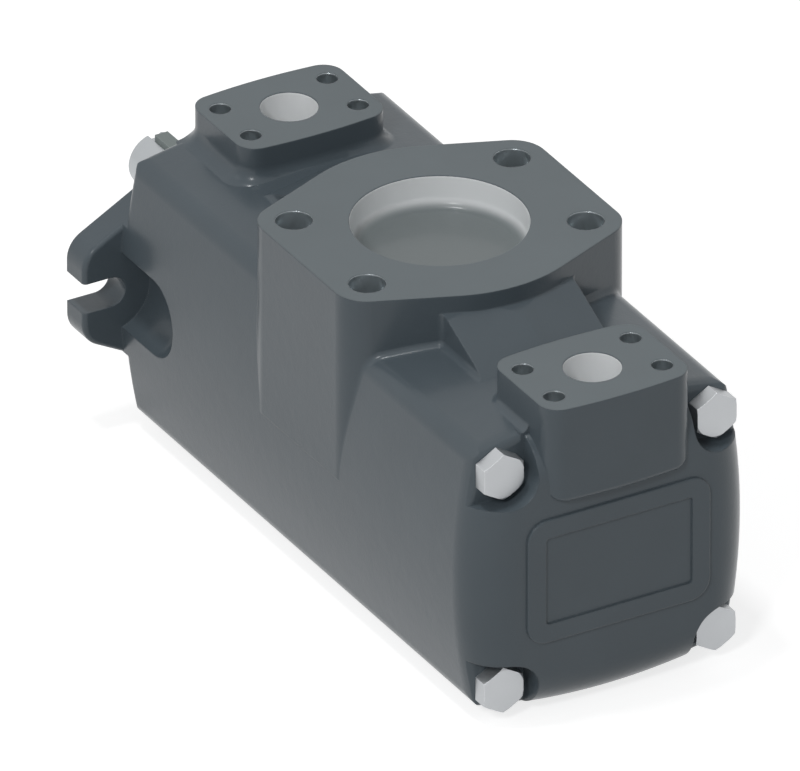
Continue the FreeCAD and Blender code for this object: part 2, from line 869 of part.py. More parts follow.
def make_drive_shaft():
    spline_start = cam_front - spline_overrun
    rear_spline_end = 2 * pump_middle - spline_start
    tail = rear_hub_end() + shaft_tail_length
    groove_front = bearing_front - circlip_thickness - circlip_play
    groove_radius = bearing_bore - shaft_circlip_depth
    land_end = seal_rear + land_tail
    shaft = turned_x(
        [
            (drive_end, 0),
            (drive_end, drive_radius - drive_chamfer),
            (drive_end + drive_chamfer, drive_radius),
            (drive_shoulder - shaft_step, drive_radius),
            (drive_shoulder, bearing_bore),
            (groove_front, bearing_bore),
            (groove_front, groove_radius),
            (bearing_front, groove_radius),
            (bearing_front, bearing_bore),
            (seal_front, bearing_bore),
            (seal_front, seal_land),
            (land_end, seal_land),
            (land_end, shaft_middle),
            (spline_start - spline_lead, shaft_middle),
            (spline_start, spline_minor),
            (rear_spline_end, spline_minor),
            (rear_spline_end, journal_radius),
            (tail - 1, journal_radius),
            (tail, journal_radius - 1),
            (tail, 0),
        ]
    )
    spline = spline_bar(spline_start, cam_rear + spline_overrun, 0.0)
    shaft = fused([shaft, spline, mirrored(spline)])
    half = keyway_width / 2
    floor = drive_radius - keyway_depth
    end = drive_end + keyway_length
    keyway = block(drive_end - 1, end, -half, half, floor, drive_radius + 1)
    run_out = Part.makeCylinder(
        keyway_width,
        keyway_width,
        vector(end, -half, floor + keyway_width),
        vector(0, 1, 0),
    )
    return shaft.cut(Part.makeCompound([keyway, run_out]))


def make_shaft_key():
    start = drive_end + key_start
    half = keyway_width / 2
    floor = drive_radius - keyway_depth
    return block(start, start + key_length, -half, half, floor, floor + key_height)


def rear_hub_start():
    """The rear port plate's working face, from which its hub runs back round the bush."""
    return 2 * pump_middle - cam_front


def rear_hub_end():
    return rear_hub_start() + bush_inset + bush_length


def make_rear_bush():
    start = rear_hub_start() + bush_inset
    return ring_x(journal_radius + journal_play, bush_seat, start, rear_hub_end())


def ring_sector(inner, outer, x0, x1, middle_angle, sweep):
    """Part of a ring about the shaft's axis, centred on an angle from +Z."""
    points = [vector(x0, 0, inner), vector(x1, 0, inner), vector(x1, 0, outer), vector(x0, 0, outer)]
    face = Part.Face(Part.makePolygon(points + points[:1]))
    sector = face.revolve(vector(0, 0, 0), vector(1, 0, 0), sweep)
    return around_x(sector, middle_angle - sweep / 2)


def plate_ports(x_pressure, x_suction, outer):
    """Two pressure kidneys and two suction notches, each given by its two ends along the shaft."""
    inner = kidney_middle - kidney_half_width
    kidney_outer = kidney_middle + kidney_half_width
    ports = [ring_sector(inner, kidney_outer, *x_pressure, turn, kidney_angle) for turn in (135, 315)]
    notches = [ring_sector(inner, outer, *x_suction, turn, kidney_angle) for turn in (45, 225)]
    return ports + notches


def port_plate(hub):
    """A port plate whose hub, a list of (x, radius) points, runs from its bore to its front face."""
    ring_front = plate_seat + plate_ring_place
    ring_rear = ring_front + plate_ring_width
    ring_floor = plate_radius - plate_ring_depth
    disc = turned_x(
        hub
        + [
            (plate_seat, plate_radius),
            (ring_front, plate_radius),
            (ring_front, ring_floor),
            (ring_rear, ring_floor),
            (ring_rear, plate_radius),
            (cam_front, plate_radius),
            (cam_front, hub[0][1]),
        ]
    )
    suction = (cam_front - suction_notch_depth, cam_front + 1)
    cuts = plate_ports((plate_seat - 1, cam_front + 1), suction, plate_radius + 1)
    for y, z in side_places():
        cuts.append(rod_x(dowel_radius + thread_clearance, cam_front - dowel_depth, cam_front + 1, y, z))
    for y, z in top_places():
        thread = clamp_screw_radius + thread_clearance
        cuts.append(rod_x(thread, cam_front - clamp_thread_length, cam_front + 1, y, z))
    return disc.cut(Part.makeCompound(cuts))


def make_front_port_plate():
    """Its hub reaches forward to a seat behind the shaft seal and keeps the pressure off the shaft."""
    hub_start = hub_seat + hub_gap
    return port_plate([(hub_start, hub_bore), (hub_start, hub_radius), (plate_seat, hub_radius)])


def make_rear_port_plate():
    """Its hub carries the bush of the shaft's tail."""
    hub_start = 2 * pump_middle - rear_hub_end()
    return mirrored(port_plate([(hub_start, bush_seat), (hub_start, hub_radius), (plate_seat, hub_radius)]))


def make_cam_ring():
    """A ring whose bore swings twice a turn between its smallest and largest radius."""
    points = []
    for k in range(cam_points):
        angle = 2 * pi * k / cam_points
        radius = cam_minor + (cam_major - cam_minor) * (1 - cos(2 * angle)) / 2
        points.append(vector(cam_front, radius * cos(angle), radius * sin(angle)))
    curve = Part.BSplineCurve()
    curve.interpolate(Points=points, PeriodicFlag=True)
    cuts = [Part.Face(Part.Wire(curve.toShape())).extrude(vector(cam_width, 0, 0))]
    for y, z in side_places():
        cuts.append(rod_x(dowel_radius + thread_clearance, cam_front - 1, cam_rear + 1, y, z))
    for y, z in top_places():
        cuts.append(rod_x(clamp_screw_radius + clamp_screw_play, cam_front - 1, cam_rear + 1, y, z))
    return rod_x(cam_radius, cam_front, cam_rear).cut(Part.makeCompound(cuts))


def make_pressure_plate():
    rear = cam_rear + plate_thickness
    disc = ring_x(hub_bore, cam_radius, cam_rear, rear)
    suction = (cam_rear - 1, cam_rear + suction_notch_depth)
    cuts = plate_ports((cam_rear - 1, cam_rear + kidney_depth), suction, cam_radius + 1)
    for y, z in side_places():
        cuts.append(rod_x(dowel_radius + thread_clearance, cam_rear - 1, cam_rear + dowel_depth, y, z))
    for y, z in top_places():
        head = clamp_head_radius + clamp_screw_play
        cuts.append(rod_x(clamp_screw_radius + clamp_screw_play, cam_rear - 1, rear + 1, y, z))
        cuts.append(rod_x(head, rear - clamp_head_height, rear + 1, y, z))
    return disc.cut(Part.makeCompound(cuts))


def rotor_ends():
    return cam_front + rotor_side_play, cam_rear - rotor_side_play


def around_rotor(shape):
    return [around_x(shape, 360 * k / vane_count) for k in range(vane_count)]


def vane_foot():
    return rotor_radius - vane_slot_depth + vane_lift


def vane_pin_foot():
    return spline_major + vane_pin_wall


def make_rotor():
    """A splined rotor with a slot for each vane and a bore for each pin below it."""
    x0, x1 = rotor_ends()
    half = vane_thickness / 2 + vane_slot_play
    slot_floor = rotor_radius - vane_slot_depth
    slot = block(x0 - 1, x1 + 1, -half, half, slot_floor, rotor_radius + 1)
    pin = rod_z(vane_pin_radius + vane_slot_play, vane_pin_foot(), slot_floor + 1, (x0 + x1) / 2, 0)
    cuts = [spline_bar(x0 - 1, x1 + 1, spline_play)] + around_rotor(slot) + around_rotor(pin)
    return rod_x(rotor_radius, x0, x1).cut(Part.makeCompound(cuts))


def make_vanes():
    """Vanes at the bottom of their stroke, each bevelled on one side of its tip."""
    x0, x1 = rotor_ends()
    half = vane_thickness / 2
    tip = rotor_radius - vane_tip_drop
    profile = [
        vector(x0, -half, vane_foot()),
        vector(x0, half, vane_foot()),
        vector(x0, half, tip - half),
        vector(x0, 0, tip),
        vector(x0, -half, tip),
    ]
    vane = Part.Face(Part.makePolygon(profile + profile[:1])).extrude(vector(x1 - x0, 0, 0))
    return Part.makeCompound(around_rotor(vane))


def make_vane_pins():
    x0, x1 = rotor_ends()
    pin = rod_z(vane_pin_radius, vane_pin_foot(), vane_foot(), (x0 + x1) / 2, 0)
    return Part.makeCompound(around_rotor(pin))


def make_dowel_pins():
    x0 = cam_front - dowel_depth
    x1 = cam_rear + dowel_depth
    return Part.makeCompound([rod_x(dowel_radius, x0, x1, y, z) for y, z in side_places()])


def make_cartridge_screws():
    seat = cam_rear + plate_thickness - clamp_head_height
    screws = []
    for y, z in top_places():
        shank = rod_x(clamp_screw_radius, cam_front - clamp_thread_length, seat + 1, y, z)
        head = rod_x(clamp_head_radius, seat, seat + clamp_head_height, y, z)
        screws.append(fused([shank, head]))
    return Part.makeCompound(screws)


def make_plate_ring():
    x0 = plate_seat + plate_ring_place
    return ring_x(plate_radius - plate_ring_depth, plate_radius + plate_fit, x0, x0 + plate_ring_width)


def write(name, shape):
    shape.exportStep("parts/" + name + ".step")


write("mounting_cap", make_mounting_cap())
write("housing", make_housing())
write("end_cap", make_end_cap())
write("end_cap_bolts", make_end_cap_bolts())
write("mounting_cap_screws", make_mounting_cap_screws())
write("front_cap_seal", make_seam_ring(housing_front - seam_ring_depth))
write("rear_cap_seal", make_seam_ring(housing_rear))
write("shaft_seal", make_shaft_seal())
write("bearing_outer_ring", make_bearing_outer_ring())
write("bearing_inner_ring", make_bearing_inner_ring())
write("bearing_balls", make_bearing_balls())
write("bearing_cage", make_bearing_cage())
write("bearing_circlip", make_bearing_circlip())
write("shaft_circlip", make_shaft_circlip())
write("drive_shaft", make_drive_shaft())
write("shaft_key", make_shaft_key())
write("rear_bush", make_rear_bush())
write("front_port_plate", make_front_port_plate())
write("rear_port_plate", make_rear_port_plate())

# Pieces that both cartridges share, where the rear one is the front one turned end for end
cartridge = {
    "cam_ring": make_cam_ring(),
    "pressure_plate": make_pressure_plate(),
    "rotor": make_rotor(),
    "vanes": make_vanes(),
    "vane_pins": make_vane_pins(),
    "dowel_pins": make_dowel_pins(),
    "cartridge_screws": make_cartridge_screws(),
    "plate_ring": make_plate_ring(),
}
for name, shape in cartridge.items():
    write("front_" + name, shape)
    write("rear_" + name, mirrored(shape))
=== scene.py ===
import json
from math import cos, pi, radians, sin, sqrt

import bpy
from bpy.props import FloatProperty, FloatVectorProperty, IntProperty, PointerProperty
from mathutils import Matrix, Vector


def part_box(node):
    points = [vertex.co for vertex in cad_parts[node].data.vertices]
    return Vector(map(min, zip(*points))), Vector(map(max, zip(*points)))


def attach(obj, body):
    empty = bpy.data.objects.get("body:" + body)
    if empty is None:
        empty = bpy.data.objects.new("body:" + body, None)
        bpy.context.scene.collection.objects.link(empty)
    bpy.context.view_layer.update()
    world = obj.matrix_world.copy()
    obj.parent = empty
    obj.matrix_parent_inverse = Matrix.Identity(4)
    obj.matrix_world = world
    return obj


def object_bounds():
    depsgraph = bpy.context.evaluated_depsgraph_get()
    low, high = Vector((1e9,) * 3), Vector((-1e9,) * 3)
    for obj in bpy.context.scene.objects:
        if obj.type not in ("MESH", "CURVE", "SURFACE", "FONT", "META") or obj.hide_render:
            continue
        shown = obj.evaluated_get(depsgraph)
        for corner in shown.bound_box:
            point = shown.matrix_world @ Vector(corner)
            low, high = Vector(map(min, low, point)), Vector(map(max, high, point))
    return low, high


bl_info = {
    "name": "Hydraulic vane pump finish",
    "version": (1, 0, 0),
    "blender": (4, 5, 0),
    "location": "3D View > Sidebar > Vane Pump",
    "description": "Paints, machines and lights a double hydraulic vane pump",
    "category": "Object",
}

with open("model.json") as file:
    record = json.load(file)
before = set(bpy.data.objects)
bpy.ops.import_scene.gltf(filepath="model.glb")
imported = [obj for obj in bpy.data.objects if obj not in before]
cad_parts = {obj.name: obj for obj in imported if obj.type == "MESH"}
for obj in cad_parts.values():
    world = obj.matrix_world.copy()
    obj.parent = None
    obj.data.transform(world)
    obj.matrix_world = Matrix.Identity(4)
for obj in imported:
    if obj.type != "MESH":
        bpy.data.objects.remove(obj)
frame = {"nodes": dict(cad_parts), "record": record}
cad_low, cad_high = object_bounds()
mounts = {m["name"]: m for m in frame["record"]["mounts"]}

MM = 0.001
WHITE = (1, 1, 1, 1)
ALONG_X = (1, 0, 0)
ALONG_Z = (0, 0, 1)
ACROSS_X = (0, 1, 1)
ACROSS_Z = (1, 1, 0)

# Levels and reaches on the castings, in metres
SUCTION_DEPTH = 0.0147
SUCTION_FILLET = 0.0045
PRESSURE_DEPTH = 0.05
TAPPED_FLOOR = 0.04
BORE_PLAY = 0.00012
HOLE_PLAY = 0.0001
MOUTH_PLAY = 0.00005
THREAD_PLAY = 0.00002
SEAM_REACH = 0.003
CARTRIDGE_REACH = 0.0590
SPIGOT_REACH = 0.0455
SPIGOT_DEPTH = 0.012
CORE_REACH = 0.0385
CORE_FRONT = 0.001
CORE_DEPTH = 0.046
PILOT_PLAY = 0.0004
PILOT_FRONT = -0.02

# How near a face lies to its plane, in metres, and how squarely it faces along it
FACE_PLAY = 0.0003
FACE_LIKENESS = 0.98


def colour(name, description, default):
    """A colour setting."""
    return FloatVectorProperty(
        name=name, description=description, default=default, subtype="COLOR", size=3, min=0, max=1
    )


def length(name, description, default):
    """A length setting, in metres."""
    return FloatProperty(
        name=name, description=description, default=default,
        subtype="DISTANCE", unit="LENGTH", min=0,
    )


def share(name, description, default):
    """A setting between none and one."""
    return FloatProperty(
        name=name, description=description, default=default, subtype="FACTOR", min=0, max=1
    )


def lamp_level(name, description, default):
    """A lamp's light, as a share of a facing surface's written colour."""
    return FloatProperty(name=name, description=description, default=default, min=0)


class PaintSettings(bpy.types.PropertyGroup):
    casting: colour("Casting paint", "Paint on the rough castings", (0.088, 0.111, 0.128))
    machined: colour(
        "Machined face paint", "Thin paint on milled port faces", (0.124, 0.153, 0.167)
    )
    # Bored iron is painted near white: partly its bare metal, partly a painted reflection that
    # also lifts the shade inside the holes.
    bore: colour("Bored iron", "Bare wall of a bored port", (0.93, 0.95, 0.96))
    # The bore floor is painted lighter than the machined faces, as painted light that cancels the
    # shade at the foot of the suction bore.
    shade_lifted_bore_floor: colour("Bore floor", "Iron at the foot of the suction bore", (0.18, 0.205, 0.21))
    raw_iron: colour("Raw iron", "Unpainted inside of the castings", (0.23, 0.235, 0.235))
    tapped: colour("Tapped holes", "Oiled wall of a tapped hole", (0.45, 0.49, 0.51))
    grain_size: length("Grain size", "Width of one bump of the cast skin", 0.0011)
    grain_depth: length("Grain depth", "Depth of the cast skin's bumps", 0.00006)
    roughness: share("Paint roughness", "Satin sheen of the paint", 0.32)
    edge_radius: length("Edge radius", "How far light rounds the castings' edges", 0.0011)


class MetalSettings(bpy.types.PropertyGroup):
    bolt: colour("Cover bolts", "Zinc plate", (0.50, 0.515, 0.53))
    shaft: colour("Shaft", "Ground steel", (0.44, 0.46, 0.475))
    key: colour("Key", "Drawn key steel", (0.17, 0.195, 0.192))
    black: colour("Black steel", "Blackened screws and circlips", (0.035, 0.036, 0.038))
    bearing: colour("Bearing steel", "Polished rings and balls", (0.60, 0.61, 0.62))
    brass: colour("Cage brass", "Machined brass", (0.58, 0.42, 0.18))
    bronze: colour("Bronze", "Port plates and bush", (0.43, 0.28, 0.13))
    hard: colour("Hardened steel", "Cam rings, rotors and plates", (0.38, 0.39, 0.40))
    rubber: colour("Rubber", "Seal rings", (0.016, 0.016, 0.017))
    dust: colour("Dust", "What lies on the rubber", (0.05, 0.05, 0.05))


class ThreadSettings(bpy.types.PropertyGroup):
    inlet_pitch: length("Suction thread pitch", "Rise of one turn in the large holes", 0.002)
    outlet_pitch: length("Pressure thread pitch", "Rise of one turn in the small holes", 0.0015)
    inlet_depth: length("Suction thread depth", "Where the large holes' threads end", 0.027)
    outlet_depth: length("Pressure thread depth", "Where the small holes' threads end", 0.019)
    lead_in: length("Lead-in", "Plain length at a hole's mouth", 0.0080)
    steps: IntProperty(name="Steps", description="Facets in one turn", default=28, min=8, max=96)


class StudioSettings(bpy.types.PropertyGroup):
    azimuth: FloatProperty(
        name="Azimuth", description="Camera's turn about the vertical", default=radians(60),
        subtype="ANGLE", unit="ROTATION",
    )
    elevation: FloatProperty(
        name="Elevation", description="Camera's height above the horizon", default=radians(30),
        subtype="ANGLE", unit="ROTATION",
    )
    target: FloatVectorProperty(
        name="Target", description="Point in the middle of the view",
        default=(0.0612, 0.0420, -0.0555), subtype="TRANSLATION", unit="LENGTH",
    )
    view_width: length("View width", "Width that the view shows at the target", 0.339)
    lens: FloatProperty(
        name="Lens", description="Focal length, long so that edges stay parallel", default=1600,
        subtype="DISTANCE_CAMERA", min=50,
    )
    sensor: FloatProperty(
        name="Sensor", description="Width of the camera's sensor", default=36,
        subtype="DISTANCE_CAMERA", min=1,
    )
    floor: colour("Floor", "Pale floor", (0.58, 0.58, 0.58))
    floor_lift: share("Floor lift", "What brings the floor in view to white", 0.75)
    sky_level: share("Sky", "Even light from all round", 0.28)
    key_level: lamp_level("Key", "Light on the pump's left side", 0.03)
    top_level: lamp_level("Top", "Light on the port faces", 0.23)
    fill_level: lamp_level("Fill", "Light into the ports and pockets", 0.23)


def fill(tree, node, values):
    """Link or set a node's inputs by name or number."""
    for key, value in values.items():
        if isinstance(value, bpy.types.NodeSocket):
            tree.links.new(value, node.inputs[key])
        elif isinstance(value, (float, int)) or len(value) == len(node.inputs[key].default_value):
            node.inputs[key].default_value = value
        else:
            node.inputs[key].default_value = (*value, 1)
    return node


def put(tree, kind, values=None, **settings):
    """Add a node with its settings and its inputs."""
    node = tree.nodes.new(kind)
    for name, value in settings.items():
        setattr(node, name, value)
    return fill(tree, node, values or {})


def use(tree, name, values):
    """Place a shader group in a material, with its own values."""
    return put(tree, "ShaderNodeGroup", values, node_tree=bpy.data.node_groups[name])


def maths(tree, operation, *values):
    """Work on numbers, each a socket or a plain number."""
    return put(tree, "ShaderNodeMath", dict(enumerate(values)), operation=operation).outputs[0]


def vectors(tree, operation, *values):
    """Work on vectors, each a socket or a plain vector."""
    node = put(tree, "ShaderNodeVectorMath", dict(enumerate(values)), operation=operation)
    return node.outputs["Value" if operation in ("DOT_PRODUCT", "LENGTH") else "Vector"]


def mixed(tree, factor, first, second):
    """Mix two colours, each a socket or a plain colour."""
    values = {0: factor, 6: first, 7: second}
    return put(tree, "ShaderNodeMix", values, data_type="RGBA").outputs[2]


def noise(tree, place, scale, detail):
    """A cloudy pattern, as its node."""
    return put(tree, "ShaderNodeTexNoise", {"Vector": place, "Scale": scale, "Detail": detail})


def start_group(name, inputs, outputs):
    """Make a shader group, and return it with its inputs and its results."""
    group = bpy.data.node_groups.new(name, "ShaderNodeTree")
    for label, kind, default in inputs:
        socket = group.interface.new_socket(label, in_out="INPUT", socket_type=kind)
        socket.default_value = default
    for label, kind in outputs:
        group.interface.new_socket(label, in_out="OUTPUT", socket_type=kind)
    return group, put(group, "NodeGroupInput").outputs, put(group, "NodeGroupOutput").inputs


def place_in(group):
    """The piece's own coordinates."""
    return put(group, "ShaderNodeTexCoord").outputs["Object"]


def make_round_zone():
    """Masks what lies within a radius of a line."""
    inputs = [
        ("Centre", "NodeSocketVector", (0, 0, 0)),
        ("Across", "NodeSocketVector", ACROSS_Z),
        ("Radius", "NodeSocketFloat", 0.01),
    ]
    group, given, result = start_group("Round Zone", inputs, [("Mask", "NodeSocketFloat")])
    offset = vectors(group, "SUBTRACT", place_in(group), given["Centre"])
    reach = vectors(group, "LENGTH", vectors(group, "MULTIPLY", offset, given["Across"]))
    group.links.new(maths(group, "LESS_THAN", reach, given["Radius"]), result["Mask"])


def make_span_zone():
    """Masks what lies between two levels along a direction."""
    inputs = [
        ("Direction", "NodeSocketVector", ALONG_Z),
        ("From", "NodeSocketFloat", 0.0),
        ("To", "NodeSocketFloat", 0.01),
    ]
    group, given, result = start_group("Span Zone", inputs, [("Mask", "NodeSocketFloat")])
    level = vectors(group, "DOT_PRODUCT", place_in(group), given["Direction"])
    above = maths(group, "GREATER_THAN", level, given["From"])
    below = maths(group, "LESS_THAN", level, given["To"])
    group.links.new(maths(group, "MULTIPLY", above, below), result["Mask"])


def make_fade_zone():
    """A share that rises from none to one between two levels along a direction."""
    inputs = [
        ("Direction", "NodeSocketVector", ALONG_Z),
        ("From", "NodeSocketFloat", 0.0),
        ("To", "NodeSocketFloat", 0.01),
    ]
    group, given, result = start_group("Fade Zone", inputs, [("Mask", "NodeSocketFloat")])
    level = vectors(group, "DOT_PRODUCT", place_in(group), given["Direction"])
    values = {"Value": level, "From Min": given["From"], "From Max": given["To"]}
    fade = put(group, "ShaderNodeMapRange", values, interpolation_type="SMOOTHSTEP")
    group.links.new(fade.outputs["Result"], result["Mask"])


def make_flat_zone():
    """Masks the faces that lie in one plane."""
    inputs = [
        ("Direction", "NodeSocketVector", ALONG_Z),
        ("Level", "NodeSocketFloat", 0.0),
    ]
    group, given, result = start_group("Flat Zone", inputs, [("Mask", "NodeSocketFloat")])
    level = vectors(group, "DOT_PRODUCT", place_in(group), given["Direction"])
    near = maths(group, "COMPARE", level, given["Level"], FACE_PLAY)
    normal = put(group, "ShaderNodeNewGeometry").outputs["True Normal"]
    facing = maths(group, "ABSOLUTE", vectors(group, "DOT_PRODUCT", normal, given["Direction"]))
    flat = maths(group, "GREATER_THAN", facing, FACE_LIKENESS)
    group.links.new(maths(group, "MULTIPLY", near, flat), result["Mask"])


def make_cast_skin():
    """The bumps of a sand casting under paint, with slow patches of tone."""
    inputs = [("Size", "NodeSocketFloat", 0.001)]
    outputs = [("Height", "NodeSocketFloat"), ("Patches", "NodeSocketFloat")]
    group, given, result = start_group("Cast Skin", inputs, outputs)
    place = place_in(group)
    fine_scale = maths(group, "DIVIDE", 1.0, given["Size"])
    fine = noise(group, place, fine_scale, 3.0)
    lumps = noise(group, place, maths(group, "DIVIDE", fine_scale, 6.0), 1.0)
    height = maths(group, "MULTIPLY_ADD", lumps.outputs["Fac"], 1.6, fine.outputs["Fac"])
    patches = noise(group, place, maths(group, "DIVIDE", fine_scale, 30.0), 2.0)
    group.links.new(height, result["Height"])
    group.links.new(patches.outputs["Fac"], result["Patches"])


def make_turned_marks():
    """Fine rings that a tool leaves round a line, of uneven depth."""
    inputs = [
        ("Centre", "NodeSocketVector", (0, 0, 0)),
        ("Across", "NodeSocketVector", ACROSS_X),
        ("Along", "NodeSocketVector", ALONG_X),
        ("Feed", "NodeSocketFloat", 0.0004),
    ]
    group, given, result = start_group("Turned Marks", inputs, [("Height", "NodeSocketFloat")])
    offset = vectors(group, "SUBTRACT", place_in(group), given["Centre"])
    reach = vectors(group, "LENGTH", vectors(group, "MULTIPLY", offset, given["Across"]))
    travel = maths(group, "ADD", reach, vectors(group, "DOT_PRODUCT", offset, given["Along"]))
    values = {"W": maths(group, "DIVIDE", travel, given["Feed"]), "Scale": 1.0, "Detail": 2.0}
    rings = put(group, "ShaderNodeTexNoise", values, noise_dimensions="1D")
    group.links.new(rings.outputs["Fac"], result["Height"])


def make_worn_and_highlit_edges():
    """Masks convex and concave edges, broken up by noise, where metal is lightened: partly rubbed
    wear, partly a painted edge highlight.
    """
    inputs = [("Radius", "NodeSocketFloat", 0.001), ("Breakup", "NodeSocketFloat", 0.5)]
    group, given, result = start_group("Worn Edges", inputs, [("Mask", "NodeSocketFloat")])
    soft = put(group, "ShaderNodeBevel", {"Radius": given["Radius"]}, samples=4)
    normal = put(group, "ShaderNodeNewGeometry").outputs["True Normal"]
    likeness = vectors(group, "DOT_PRODUCT", soft.outputs["Normal"], normal)
    edge = maths(group, "MULTIPLY", maths(group, "SUBTRACT", 1.0, likeness), 4.0)
    flecks = noise(group, place_in(group), 160.0, 3.0)
    broken = maths(group, "MULTIPLY", flecks.outputs["Fac"], given["Breakup"])
    mask = put(group, "ShaderNodeMath", {0: edge, 1: broken}, operation="SUBTRACT", use_clamp=True)
    group.links.new(mask.outputs[0], result["Mask"])


def make_brushed_grain():
    """Long fine scratches along one direction."""
    inputs = [("Stretch", "NodeSocketVector", (30, 900, 900))]
    group, given, result = start_group("Brushed Grain", inputs, [("Height", "NodeSocketFloat")])
    stretched = vectors(group, "MULTIPLY", place_in(group), given["Stretch"])
    scratches = noise(group, stretched, 1.0, 4.0)
    group.links.new(scratches.outputs["Fac"], result["Height"])


def new_material(name):
    """Make a material, and return it with its tree and its shader."""
    material = bpy.data.materials.new(name)
    material.use_nodes = True
    tree = material.node_tree
    return material, tree, tree.nodes["Principled BSDF"]


def bump(tree, height, depth, normal=None):
    """Turn heights between none and one into relief of some depth."""
    values = {"Height": height, "Distance": depth, "Strength": 1.0}
    if normal is not None:
        values["Normal"] = normal
    return put(tree, "ShaderNodeBump", values).outputs["Normal"]


def dress(names, material):
    """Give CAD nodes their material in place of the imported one."""
    for name in names:
        node = frame["nodes"][name]
        node.data.materials.clear()
        node.data.materials.append(material)


def any_of(tree, masks):
    """Join masks into one."""
    total = masks[0]
    for mask in masks[1:]:
        total = maths(tree, "MAXIMUM", total, mask)
    return total


def hole_places(pattern):
    """The four corners of a port's bolt pattern."""
    mount = mounts[pattern]
    centre = Vector(mount["pos_m"])
    half_x = mount["dims"]["spacing_x_mm"] * MM / 2
    half_y = mount["dims"]["spacing_y_mm"] * MM / 2
    return [centre + Vector((i * half_x, j * half_y, 0)) for i in (-1, 1) for j in (-1, 1)]


def hole_zone(tree, centre, radius, low):
    """Masks an upright hole from just below its mouth down to a level."""
    around = use(tree, "Round Zone", {"Centre": centre, "Across": ACROSS_Z, "Radius": radius})
    mouth = centre[2] - MOUTH_PLAY
    height = use(tree, "Span Zone", {"Direction": ALONG_Z, "From": low, "To": mouth})
    return maths(tree, "MULTIPLY", around.outputs["Mask"], height.outputs["Mask"])


def shaft_zone(tree, radius, start, end):
    """Masks what lies round the shaft between two places along it."""
    around = use(tree, "Round Zone", {"Centre": (0, 0, 0), "Across": ACROSS_X, "Radius": radius})
    run = use(tree, "Span Zone", {"Direction": ALONG_X, "From": start, "To": end})
    return maths(tree, "MULTIPLY", around.outputs["Mask"], run.outputs["Mask"])


def face_zone(tree, direction, place):
    """Masks the faces in one plane."""
    return use(tree, "Flat Zone", {"Direction": direction, "Level": place}).outputs["Mask"]


def port_zones(tree):
    """Masks of the port faces, the port bores and the tapped holes."""
    faces = []
    bores = []
    tapped = []
    for port in ("inlet", "front_outlet", "rear_outlet"):
        mouth = Vector(mounts[port + "_port"]["pos_m"])
        mouth.z = mounts[port + "_face"]["pos_m"][2]
        faces.append(face_zone(tree, ALONG_Z, mouth.z))
        radius = mounts[port + "_port"]["dims"]["r_mm"] * MM + BORE_PLAY
        depth = SUCTION_DEPTH + HOLE_PLAY if port == "inlet" else PRESSURE_DEPTH
        bores.append(hole_zone(tree, mouth, radius, mouth.z - depth))
        hole_radius = mounts[port + "_bolts"]["dims"]["hole_r_mm"] * MM + HOLE_PLAY
        for hole in hole_places(port + "_bolts"):
            tapped.append(hole_zone(tree, hole, hole_radius, TAPPED_FLOOR))
    return faces, bores, tapped


